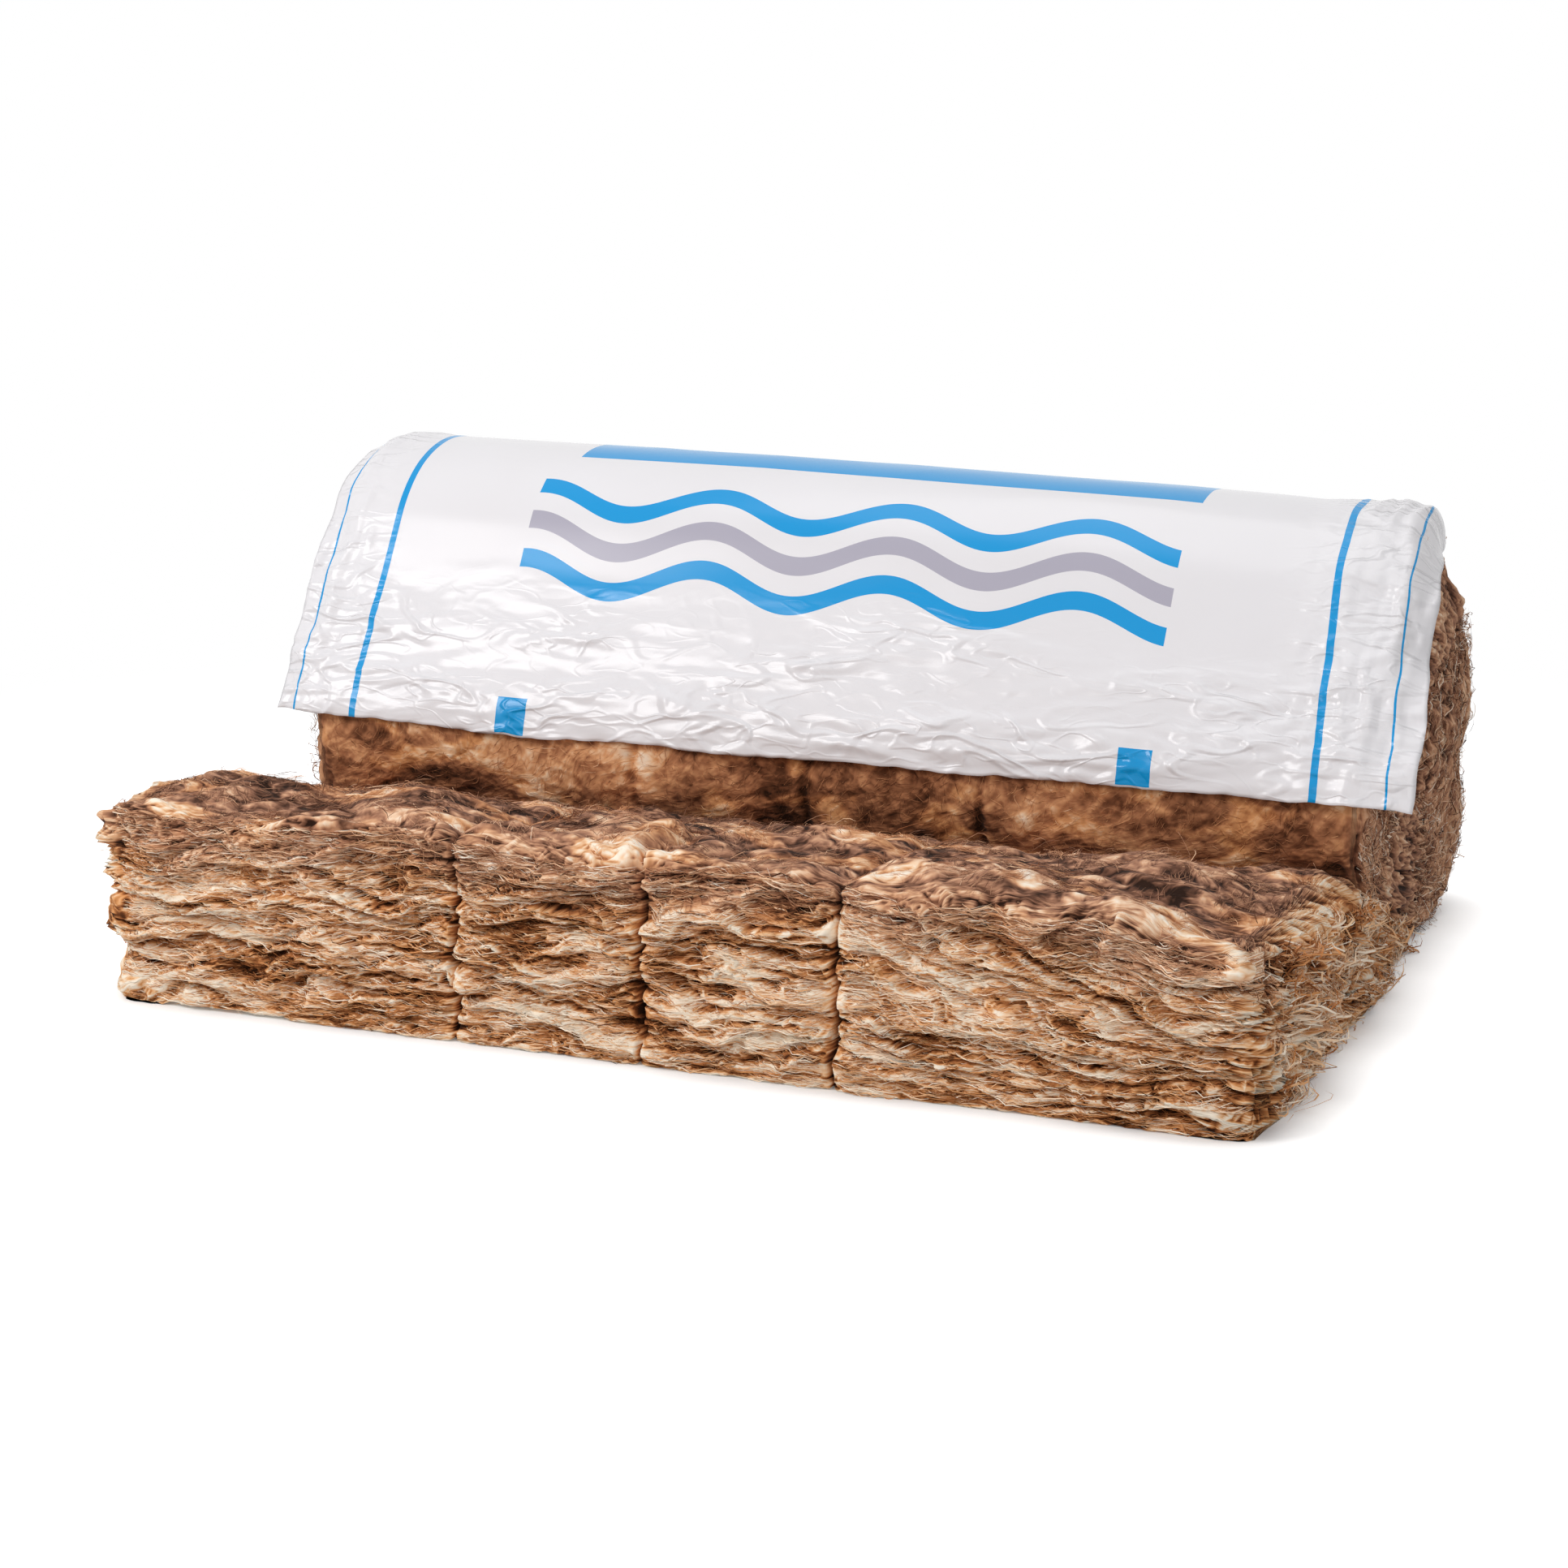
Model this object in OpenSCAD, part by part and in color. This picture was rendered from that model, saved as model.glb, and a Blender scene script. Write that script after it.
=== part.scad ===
// Partly unrolled insulation roll: one continuous glass wool quilt, part coil and part
// recovered tail, with its printed wrapping film still lying over the coil.
// Millimetres. X runs along the roll's axis, -Y is the cut end of the tail, +Z is up.
// The origin is on the floor, at the middle of the whole object.

/* [Quilt] */
// Width of the quilt, along the roll's axis
quilt_w = 1140; // [600:10:1200]
// Thickness of the quilt at the cut end, where it has recovered
quilt_t = 200; // [150:5:270]
// Radius of the soft top edge of the cut end
edge_r = 30; // [10:1:45]
// How far the tail is pressed down where it goes under the coil
nip_drop = 68; // [30:1:90]

/* [Coil] */
// Length of the tail on the floor in front of the coil
tail_len = 390; // [250:5:600]
// Depth of the slumped coil, front to back
coil_d = 565; // [480:5:640]
// Height of the slumped coil
coil_h = 480; // [440:5:560]
// Radius of the coil's crown
crown_r = 155; // [120:1:180]
// Distance of the crown's centre behind the coil's front
crown_back = 243; // [200:1:290]
// Radius of the bulge at the coil's front
front_r = 110; // [80:1:125]
// Height of the front bulge's centre above the nip
front_rise = 64; // [40:1:75]
// Radius of the bulge at the coil's back
back_r = 190; // [150:1:210]
// How far the back bulge is flattened where it rests on the floor
coil_sag = 4; // [1:0.5:15]
// Number of turns in the coil
turns = 6; // [3:1:9]
// Width of the line between two turns on the ends
turn_line_w = 4; // [2:0.5:6]
// Depth of the line between two turns on the ends
turn_line_d = 12; // [4:1:25]

/* [Cut lines] */
// Width of a perforated cut line
slit_w = 3; // [1:0.5:3.5]
// Depth of a cut line where it shows on the outside of the coil
slit_d = 8; // [3:1:20]
// Length of one through cut in the tail
slit_len = 60; // [30:5:90]
// Length of the uncut bridge between two through cuts
bridge_len = 15; // [8:1:30]

/* [Film] */
// Thickness of the wrapping film
film_t = 1.5; // [1:0.1:3]
// Clearance between the film and the coil
film_gap = 0.4; // [0.2:0.1:1]
// Length of film that stands past the left end of the coil
film_left = 37; // [10:1:80]
// Length of film that stands past the right end of the coil
film_right = 53; // [10:1:80]
// Height of the film's front edge above the nip
film_lift = 78; // [40:1:130]
// Height of the film's back edge above the floor
film_back_z = 70; // [20:1:180]

/* [Hidden] */
$fn = 96;

// Room for cutting shapes to pass a face
past = 5;
// Angle between two points of the line between turns
turn_step = 12;

// The part's box, whose middle is the origin
part_w = film_left + quilt_w + film_right;
part_d = tail_len + coil_d + film_gap + film_t;
quilt_x = film_left - part_w / 2;

// Nip: where the tail's top meets the front of the coil
nip_h = quilt_t - nip_drop;
nip_turn = asin(front_rise / front_r);
nip_y = tail_len + front_r * (1 - cos(nip_turn));

// The slumped coil is bounded by three round lobes: [[y, z], radius], counter-clockwise
front_lobe = [[tail_len + front_r, nip_h + front_rise], front_r];
back_lobe = [[tail_len + coil_d - back_r, back_r - coil_sag], back_r];
crown_lobe = [[tail_len + crown_back, coil_h - crown_r], crown_r];
lobes = [front_lobe, back_lobe, crown_lobe];

// Tail's top: one long arc, level at the cut end and falling to the nip
top_r = (nip_y * nip_y + nip_drop * nip_drop) / (2 * nip_drop);
top_z = quilt_t - top_r;
// The soft edge's arc is this much larger than one that would run out tangent
edge_soft = 1.06;
// The coil's straight sides lie this far inside the tangents of its lobes
side_inset = 0.1;

// Eye of the coil, where the turns end
eye = (front_lobe[0] + back_lobe[0] + crown_lobe[0]) / 3;
// Angle by which the tail has become the outermost full turn
first_turn_a = 300;
// Share of the turns that the line follows before it fades at the eye
eye_share = 0.9;

// Cut lines divide the width into thirds or into halves
slit_at = [quilt_w / 3, quilt_w / 2, quilt_w * 2 / 3];

function unit(a) = [cos(a), sin(a)];
function reach(lobe, n) = lobe[0] * n + lobe[1];
function outer_lobe(n) =
    let (far = max([for (lobe = lobes) reach(lobe, n)]))
    [for (lobe = lobes) if (reach(lobe, n) == far) lobe][0];
function outline(a) = let (n = unit(a), lobe = outer_lobe(n)) lobe[0] + lobe[1] * n;

// Unit normal of the straight side that runs from one lobe to the next
function side_normal(from, to) =
    let (
        run = to[0] - from[0],
        along = run / norm(run),
        lean = (from[1] - to[1]) / norm(run)
    )
    along * lean + [along[1], -along[0]] * sqrt(1 - lean * lean);

// The line between turns starts at the nip, and each turn lies inside the one before
function turns_in(a) =
    a < first_turn_a ? (a - 180 - nip_turn) / (first_turn_a - 180 - nip_turn)
                     : 1 + (a - first_turn_a) / 360;
function turn_point(a) = eye + (1 - turns_in(a) / turns) * (outline(a) - eye);
function turn_inner(a) =
    let (p = turn_point(a)) p - turn_line_w * (p - eye) / norm(p - eye);

// Stands a section drawn in Y and Z up along X
module along_x(length) {
    translate([0, -part_d / 2, 0])
        rotate([90, 0, 90])
            linear_extrude(length) children();
}

// Outline of the coil: round lobes joined by straight sides
module coil_outline(grow = 0) {
    count = len(lobes);
    for (lobe = lobes)
        translate(lobe[0]) circle(lobe[1] + grow);
    polygon([
        for (i = [0:count - 1])
            let (
                a = lobes[i],
                b = lobes[(i + 1) % count],
                n = side_normal(a, b),
                out = grow - side_inset
            )
            each [a[0] + (a[1] + out) * n, b[0] + (b[1] + out) * n]
    ]);
}

// Outline of the tail: one long arc on top, with a soft edge at the cut end
module tail_outline() {
    intersection() {
        translate([0, top_z]) circle(top_r);
        union() {
            translate([edge_r, -past]) square([front_lobe[0][0] - edge_r, quilt_t + 2 * past]);
            translate([-past, -past]) square([edge_r + 2 * past, quilt_t - edge_r + past]);
            translate([edge_r, quilt_t - edge_r]) circle(edge_r * edge_soft);
        }
    }
}

// Section of the whole quilt, cut off level by the floor and square at the cut end
module quilt_outline() {
    intersection() {
        union() {
            tail_outline();
            coil_outline();
            polygon([
                [nip_y, -past], [back_lobe[0][0], -past], back_lobe[0], front_lobe[0]
            ]);
        }
        square([part_d + past, coil_h + past]);
    }
}

// Line between the turns, wound from the nip to the eye
module turn_line() {
    start = 180 + nip_turn;
    stop = first_turn_a + 360 * (turns * eye_share - 1);
    steps = floor((stop - start) / turn_step);
    angles = [for (i = [0:steps]) start + i * turn_step];
    polygon(concat(
        [for (a = angles) turn_point(a)],
        [for (i = [steps:-1:0]) turn_inner(angles[i])]
    ));
}

// Through cuts of one perforated line, from the cut end back to the coil
module tail_slits() {
    pitch = slit_len + bridge_len;
    last = floor((tail_len - slit_len / 2 - bridge_len) / pitch);
    translate([0, -part_d / 2, -past]) {
        translate([0, -past, 0]) cube([slit_w, past + slit_len / 2, quilt_t + 2 * past]);
        for (i = [1:last])
            translate([0, i * pitch - slit_len / 2, 0])
                cube([slit_w, slit_len, quilt_t + 2 * past]);
    }
}

// The same line where it shows on the coil, from the nip over the crown to the floor
module coil_slit() {
    low = nip_h + past;
    high = coil_h + past;
    along_x(slit_w)
        intersection() {
            difference() {
                coil_outline(past);
                coil_outline(-slit_d);
            }
            polygon([
                [0, low], front_lobe[0], back_lobe[0], [back_lobe[0][0], -past],
                [part_d + past, -past], [part_d + past, high], [0, high]
            ]);
        }
}

module wool_quilt() {
    color("#8f6a49")
        translate([quilt_x, 0, 0])
            difference() {
                along_x(quilt_w) quilt_outline();
                translate([-past, 0, 0]) along_x(past + turn_line_d) turn_line();
                translate([quilt_w - turn_line_d, 0, 0]) along_x(past + turn_line_d) turn_line();
                for (x = slit_at)
                    translate([x - slit_w / 2, 0, 0]) {
                        tail_slits();
                        coil_slit();
                    }
            }
}

module wrap_film() {
    middle = crown_lobe[0][0];
    front_z = nip_h + film_lift;
    high = coil_h + film_gap + film_t + past;
    color("#e9e9ec")
        translate([-part_w / 2, 0, 0])
            along_x(part_w)
                intersection() {
                    difference() {
                        coil_outline(film_gap + film_t);
                        coil_outline(film_gap);
                    }
                    polygon([
                        [0, front_z], [middle, front_z], [middle, film_back_z],
                        [part_d + past, film_back_z], [part_d + past, high], [0, high]
                    ]);
                }
}

wool_quilt();
wrap_film();
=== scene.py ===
import math

import bmesh
import bpy
import numpy as np
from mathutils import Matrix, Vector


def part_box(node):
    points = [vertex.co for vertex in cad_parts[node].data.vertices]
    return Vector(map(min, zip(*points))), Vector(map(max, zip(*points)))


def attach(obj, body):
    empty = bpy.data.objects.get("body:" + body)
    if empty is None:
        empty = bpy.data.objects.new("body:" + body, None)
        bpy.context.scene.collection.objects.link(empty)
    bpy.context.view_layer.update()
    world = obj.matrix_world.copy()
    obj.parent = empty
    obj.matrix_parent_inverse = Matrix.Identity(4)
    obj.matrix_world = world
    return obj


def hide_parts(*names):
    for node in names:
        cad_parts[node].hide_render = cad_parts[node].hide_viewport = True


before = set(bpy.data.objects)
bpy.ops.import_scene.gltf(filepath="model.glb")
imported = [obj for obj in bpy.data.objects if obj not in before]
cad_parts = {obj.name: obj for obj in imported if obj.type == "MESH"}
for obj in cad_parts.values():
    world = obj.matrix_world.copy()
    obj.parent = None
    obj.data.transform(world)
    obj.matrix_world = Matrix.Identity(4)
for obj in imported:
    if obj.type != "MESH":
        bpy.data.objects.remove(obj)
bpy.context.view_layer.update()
quiltLow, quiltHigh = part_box("wool_quilt")
filmLow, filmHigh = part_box("wrap_film")
print("frame loaded")

# Section of the roll in metres, as its solids have it: y runs back from the cut end, z up
roll = {
    "thickness": 0.200,      # recovered quilt at the cut end
    "edgeRadius": 0.030,     # soft top edge of the cut end
    "tailLength": 0.390,
    "nipDrop": 0.068,        # tail pressed down where it goes under the coil
    "coilDepth": 0.565,
    "coilHeight": 0.480,
    "crownRadius": 0.155,
    "crownBack": 0.243,
    "frontRadius": 0.110,
    "frontRise": 0.064,
    "backRadius": 0.190,
    "backSag": 0.004,
    "turns": 6,
}
quiltWidth = quiltHigh.x - quiltLow.x
cutLines = quiltWidth * np.array([1 / 3, 1 / 2, 2 / 3])   # from the left end
nipHeight = roll["thickness"] - roll["nipDrop"]
nipTurn = math.asin(roll["frontRise"] / roll["frontRadius"])
nipY = roll["tailLength"] + roll["frontRadius"] * (1 - math.cos(nipTurn))
lobeCentres = np.array([
    [roll["tailLength"] + roll["frontRadius"], nipHeight + roll["frontRise"]],
    [roll["tailLength"] + roll["coilDepth"] - roll["backRadius"], roll["backRadius"] - roll["backSag"]],
    [roll["tailLength"] + roll["crownBack"], roll["coilHeight"] - roll["crownRadius"]],
])
lobeRadii = np.array([roll["frontRadius"], roll["backRadius"], roll["crownRadius"]])
coilEye = lobeCentres.mean(axis=0)
floorRoom = 0.0006           # the wool stays this far off the floor, so that the two never coincide


# Seeded gradient noise at points (n, 3), about -1 to 1
def noiseAt(points, seed):
    table = np.random.default_rng(seed)
    order = np.concatenate([table.permutation(256)] * 2)
    slopes = table.normal(size=(256, 3))
    slopes /= np.linalg.norm(slopes, axis=1)[:, None]
    cell = np.floor(points).astype(int)
    part = points - cell
    fade = part ** 3 * (part * (part * 6 - 15) + 10)
    cell &= 255
    total = np.zeros(len(points))
    for corner in range(8):
        step = np.array([corner & 1, corner >> 1 & 1, corner >> 2 & 1])
        spot = (cell + step) & 255
        slope = slopes[order[order[order[spot[:, 0]] + spot[:, 1]] + spot[:, 2]]]
        weight = np.prod(np.where(step == 1, fade, 1 - fade), axis=1)
        total += weight * np.einsum("ij,ij->i", part - step, slope)
    return 1.6 * total


# Noise with its own size along each axis, in millimetres
def grain(spot, sizes, seed):
    return noiseAt(spot / np.asarray(sizes, float), seed)


def smooth(low, high, value):
    t = np.clip((value - low) / (high - low), 0, 1)
    return t * t * (3 - 2 * t)


# Thin seams run where a stretched noise passes through nought; they are sunk into the wool and darkened with
# painted shade
def seams(value, width):
    return np.exp(-(value / width) ** 2)


# Steps along a line whose spacing changes with the place on it
def spacedSteps(places, spacing):
    gaps = np.diff(places)
    count = np.concatenate([[0], np.cumsum(gaps / (0.5 * (spacing[1:] + spacing[:-1])))])
    steps = max(2, int(round(count[-1])))
    return np.interp(np.linspace(0, count[-1], steps + 1), count, places)


def lengthsAlong(line):
    return np.concatenate([[0], np.cumsum(np.linalg.norm(np.diff(line, axis=0), axis=1))])


def alongLine(line, places):
    run = lengthsAlong(line)
    return np.stack([np.interp(places, run, line[:, k]) for k in range(line.shape[1])], axis=1)


# Outline of the coil from the floor, up the back, over the crown and down the front
def coilOutline(grow=0.0, count=2400):
    angle = np.linspace(-math.pi / 2, 1.5 * math.pi, count)
    out = np.stack([np.cos(angle), np.sin(angle)], axis=1)
    reach = out @ lobeCentres.T + lobeRadii
    lobe = np.argmax(reach, axis=1)
    line = lobeCentres[lobe] + (lobeRadii[lobe] + grow)[:, None] * out
    line[:, 1] = np.maximum(line[:, 1], 0.0)
    return line


# A flat grid of points, with the places of each point along its two sides
def gridMesh(name, across, up):
    bm = bmesh.new()
    bmesh.ops.create_grid(bm, x_segments=across - 1, y_segments=up - 1, size=0.5)
    mesh = bpy.data.meshes.new(name)
    bm.to_mesh(mesh)
    bm.free()
    flat = np.empty(len(mesh.vertices) * 3)
    mesh.vertices.foreach_get("co", flat)
    flat = flat.reshape(-1, 3)
    first = np.rint((flat[:, 0] + 0.5) * (across - 1)).astype(int)
    second = np.rint((flat[:, 1] + 0.5) * (up - 1)).astype(int)
    return mesh, first, second


# A closed body swept along x: each column is the loop drawn in towards its spine
def sweptBody(name, loop, spine, columnX, columnKeep):
    mesh, row, column = gridMesh(name, len(loop), len(columnX))
    section = spine[row] + columnKeep[column][:, None] * (loop[row] - spine[row])
    place = np.column_stack([columnX[column], section[:, 0] + quiltLow.y, section[:, 1]])
    mesh.vertices.foreach_set("co", place.ravel())
    bm = bmesh.new()
    bm.from_mesh(mesh)
    bmesh.ops.remove_doubles(bm, verts=bm.verts, dist=1e-6)
    bmesh.ops.recalc_face_normals(bm, faces=bm.faces)
    bm.to_mesh(mesh)
    bm.free()
    body = bpy.data.objects.new(name, mesh)
    bpy.context.scene.collection.objects.link(body)
    return body


def readMesh(mesh):
    place = np.empty(len(mesh.vertices) * 3)
    mesh.vertices.foreach_get("co", place)
    out = np.empty(len(mesh.vertices) * 3)
    mesh.vertex_normals.foreach_get("vector", out)
    return place.reshape(-1, 3), out.reshape(-1, 3)


def setFloat(mesh, name, values):
    layer = mesh.attributes.new(name, "FLOAT", "POINT")
    layer.data.foreach_set("value", np.asarray(values, np.float32))


def setVector(mesh, name, values):
    layer = mesh.attributes.new(name, "FLOAT_VECTOR", "POINT")
    layer.data.foreach_set("vector", np.asarray(values, np.float32).ravel())


# Height in mm of each point above the mean of its neighbours, added to the tone as painted light and shade:
# lips get a painted highlight, seams painted shade
def paintedRidgeShading(mesh, place):
    ends = np.empty(len(mesh.edges) * 2, int)
    mesh.edges.foreach_get("vertices", ends)
    ends = ends.reshape(-1, 2)
    count = np.bincount(ends.ravel(), minlength=len(place))
    around = np.zeros_like(place)
    for k in range(3):
        for one, other in ((0, 1), (1, 0)):
            around[:, k] += np.bincount(ends[:, one], place[ends[:, other], k], minlength=len(place))
    out = readMesh(mesh)[1]
    return 1000 * np.einsum("ij,ij->i", place - around / np.maximum(count, 1)[:, None], out)


def smoothShaded(mesh):
    mesh.polygons.foreach_set("use_smooth", np.ones(len(mesh.polygons), bool))


# What the wool materials read from a mesh
def giveTones(mesh, tone, grey, laid):
    setFloat(mesh, "tone", tone)
    setFloat(mesh, "grey", grey)
    setVector(mesh, "laid", laid)
    smoothShaded(mesh)


# Columns along x: close by the cut lines and at the ends, then the caps closed in rings
def columnsAlong(piece):
    rim = piece["rim"]
    low = quiltLow.x + rim
    high = quiltHigh.x - rim
    fine = np.linspace(low, high, 6000)
    near = np.min(np.abs(fine[:, None] - (quiltLow.x + cutLines)[None, :]), axis=1)
    body = spacedSteps(fine, np.where(near < piece["cutReach"], piece["cutSpacing"], piece["columnSpacing"]))
    turn = np.linspace(0, math.pi / 2, piece["rimSteps"] + 1)[1:]
    inset = rim * (1 - np.cos(turn))
    rings = np.linspace(0, 1, piece["capRings"] + 1)[1:]
    keepRim = 1 - inset / piece["capReach"]
    capKeep = np.concatenate([keepRim, keepRim[-1] * (1 - rings)])
    capX = np.concatenate([rim * np.sin(turn), np.full(piece["capRings"], rim)])
    x = np.concatenate([(low - capX)[::-1], body, high + capX])
    keep = np.concatenate([capKeep[::-1], np.ones(len(body)), capKeep])
    return x, keep


# Fibres of the quilt lie in wavy layers; the layer height is z with a slow wander added.
# From here on shapes are worked out in mm, and the last number given to a grain is its seed
def layerHeight(spot):
    x, z = spot[:, 0], spot[:, 2]
    wander = 15 * grain(spot, (260, 260, 130), 11)
    wander += 15 * grain(spot, (95, 95, 50), 12)
    wander += 11 * grain(spot, (48, 48, 30), 13)
    wander += 4 * grain(spot, (18, 18, 12), 14)
    slope = 0.36 * np.clip(x - 800, 0, 260) * smooth(12, 75, z) * (1 - 0.5 * smooth(150, 200, z))
    return z + wander + slope


tail = {
    "frontSpacing": 0.0024,
    "topSpacing": 0.0040,
    "hiddenSpacing": 0.03,
    "frontReach": 0.035,     # the front's close rows run this far back over the edge
    "topReach": 0.012,       # and the top's this far under the coil
    "columnSpacing": 0.0033,
    "cutSpacing": 0.0011,
    "cutReach": 0.006,       # columns stand closer on both sides of a cut line
    "rim": 0.032,
    "rimSteps": 8,
    "capRings": 26,
    "capReach": 0.09,
    "wedgeGap": 0.02,        # the wedge hidden under the coil keeps this far inside the lobes' middles
    "wedge": (0.085, 0.012, 0.004),      # its heights, from the nip to the back
    "spine": (0.085, 0.60),  # the ends close on a line from here to here
    "spineSteps": 14,
    "spineHeights": (0.095, 0.062, 0.025),
    "liftLeft": 4.0,         # mm that the cut end's left corner stands off the floor
    "fallRight": 20.0,       # mm that its top falls towards the right end
}


# How far each point of the tail moves, in mm, with its tone, its greyness and its layers
def tailShape(base, out):
    spot = base * 1000 - np.array([quiltLow.x, quiltLow.y, 0]) * 1000
    x, y, z = spot.T
    laid = np.column_stack([x, y, layerHeight(spot)])
    front = np.clip(-out[:, 1], 0, 1)
    end = np.abs(out[:, 0])
    cut = np.clip(front ** 2 + end ** 2, 0, 1)
    level = np.clip(out[:, 2], 0, 1) ** 2

    # Cut faces: stacked lips with deep seams between them, and smoother bands of loose cream wool
    broad = grain(laid, (170, 170, 15), 21)
    middle = grain(laid, (70, 70, 7.5), 22)
    fine = grain(laid, (28, 28, 3.4), 23)
    wisps = grain(laid, (11, 11, 1.8), 24)
    cotton = smooth(0.08, 0.5, grain(laid, (105, 105, 19), 28))
    split = smooth(-0.35, 0.3, grain(laid, (130, 130, 40), 27))
    gaps = seams(broad, 0.09) + 0.7 * seams(middle, 0.12)
    gaps = gaps * (0.35 + 0.65 * split) * (1 - 0.6 * cotton)
    lips = (8 * np.abs(broad) ** 0.7 + 5 * np.abs(middle) ** 0.8) * (1 - 0.5 * cotton)
    lips += 2.4 * fine + 1.2 * wisps + 5 * cotton
    ledges = 9 * smooth(-0.03, 0.10, grain(laid, (140, 140, 24), 43))
    ledges += 6 * smooth(-0.03, 0.08, grain(laid, (75, 75, 12), 44))
    swell = 11 * grain(spot, (130, 130, 60), 25)
    cutMove = lips + ledges + swell - 7 * gaps - 12
    knots = 15 * grain(spot, (64, 58, 46), 37) + 11 * np.abs(grain(spot, (29, 27, 22), 38))
    cutMove += end * (knots + 5)
    under = end * smooth(440, 570, y)            # the wedge under the coil stays inside its ends
    cutMove += under * (-9 - 0.75 * cutMove)

    # Matted top: soft tufts and hollows, rolling over the front edge
    clouds = grain(spot, (135, 105, 80), 31)
    tufts = grain(spot, (58, 46, 38), 32)
    curls = grain(spot + 14 * np.column_stack([tufts, clouds, tufts]), (23, 19, 19), 33)
    hair = grain(laid + 6 * np.column_stack([clouds, curls, tufts]), (14, 9, 6), 34)
    topMove = 13 * clouds + 10 * np.abs(tufts) + 2.6 * curls + 1.2 * hair - 6
    rolls = 13 * grain(spot, (88, 70, 42), 35) + 6 * np.abs(grain(spot, (44, 40, 26), 36)) - 2
    brimLow = 128 + 38 * grain(spot, (150, 400, 400), 45) + 14 * grain(spot, (46, 400, 400), 46)
    brim = smooth(0, 1, (z - brimLow) / 45) * (1 - smooth(30, 90, y))
    rolled = brim * rolls

    # Cut lines pull both faces in
    sway = 2.6 * grain(spot, (400, 60, 30), 41)
    apart = np.min(np.abs(x[:, None] + sway[:, None] - 1000 * cutLines[None, :]), axis=1)
    bridges = smooth(-0.25, 0.2, grain(spot, (500, 34, 15), 42))
    slot = np.exp(-(apart / 2.1) ** 2)
    dent = np.exp(-apart / 8)
    cutMove -= 30 * slot * (0.3 + 0.7 * bridges) + 6 * dent
    topMove -= 15 * slot * bridges + 10 * np.exp(-(apart / 15) ** 2)

    steady = 0.35 + 0.65 * smooth(0, 38, z)      # pressed flat where it stands on the floor
    amount = cut * steady * cutMove + level * topMove + rolled
    move = out * amount[:, None]
    move[:, 2] += cut * 1.6 * grain(laid, (40, 40, 6), 26)
    heaved = 11 * grain(spot, (230, 160, 400), 29) + 6 * grain(spot, (85, 75, 400), 30)
    move[:, 2] += smooth(60, 200, z) * heaved
    fallen = smooth(960, 1130, x) * smooth(60, 190, z) * (1 - smooth(200, 380, y))
    move[:, 2] -= tail["fallRight"] * fallen
    move[:, 2] += tail["liftLeft"] * (1 - smooth(0, 420, x)) * (1 - smooth(60, 330, y))

    # Tones: painted highlight on the lips and painted shade in the seams of the cut faces, light bands of
    # cream wool, a darker top with pale flocks
    tone = 0.68 + 0.27 * grain(laid, (200, 200, 30), 51) + 0.36 * grain(laid, (80, 80, 8), 52)
    # The |broad| term is a painted highlight on the lips; fine, wisps and cotton are the wool's own tone
    tone += 0.26 * fine + 0.20 * wisps + 0.12 * np.abs(broad) + 0.34 * cotton
    # Painted shade: the seams between the lips are darkened
    tone -= 0.72 * np.clip(gaps, 0, 1)
    # Painted shade in the slits of the cut lines
    tone -= 0.75 * slot * (0.3 + 0.7 * bridges)
    tone += end * (0.36 * grain(spot, (40, 36, 26), 54) - 0.03)
    stirred = spot + 18 * np.column_stack([tufts, curls, clouds])
    flocks = smooth(0.0, 0.45, grain(stirred, (85, 48, 40), 53))
    toneTop = 0.24 + 0.10 * clouds + 0.15 * tufts + 0.11 * curls + 0.12 * hair + 0.32 * flocks
    toneTop += 0.12 * brim
    toneTop = np.where(toneTop < 0.22, 0.165 + 0.25 * toneTop, toneTop)    # hollows stay brown
    # Painted shade in the slits of the cut lines and just beside them
    toneTop -= 0.32 * slot * bridges + 0.08 * np.exp(-(apart / 10) ** 2)
    # Painted shade: the top darkens towards the nip, where it goes under the coil
    toneTop -= 0.16 * smooth(300, 400, y)
    share = np.clip(cut / np.maximum(cut + level, 1e-6), 0, 1) * (1 - 0.75 * brim)
    grey = 0.6 * (1 - share) * (1 - 0.7 * flocks) - 0.08 * share
    laid[:, 2] *= 0.45 + 0.55 * share
    return move, share * tone + (1 - share) * toneTop, grey, laid


# The tail's top is one long arc, level at the cut end and falling to the nip
def tailTop(y):
    topRadius = (nipY ** 2 + roll["nipDrop"] ** 2) / (2 * roll["nipDrop"])
    return roll["thickness"] - topRadius + np.sqrt(topRadius ** 2 - y ** 2)


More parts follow.
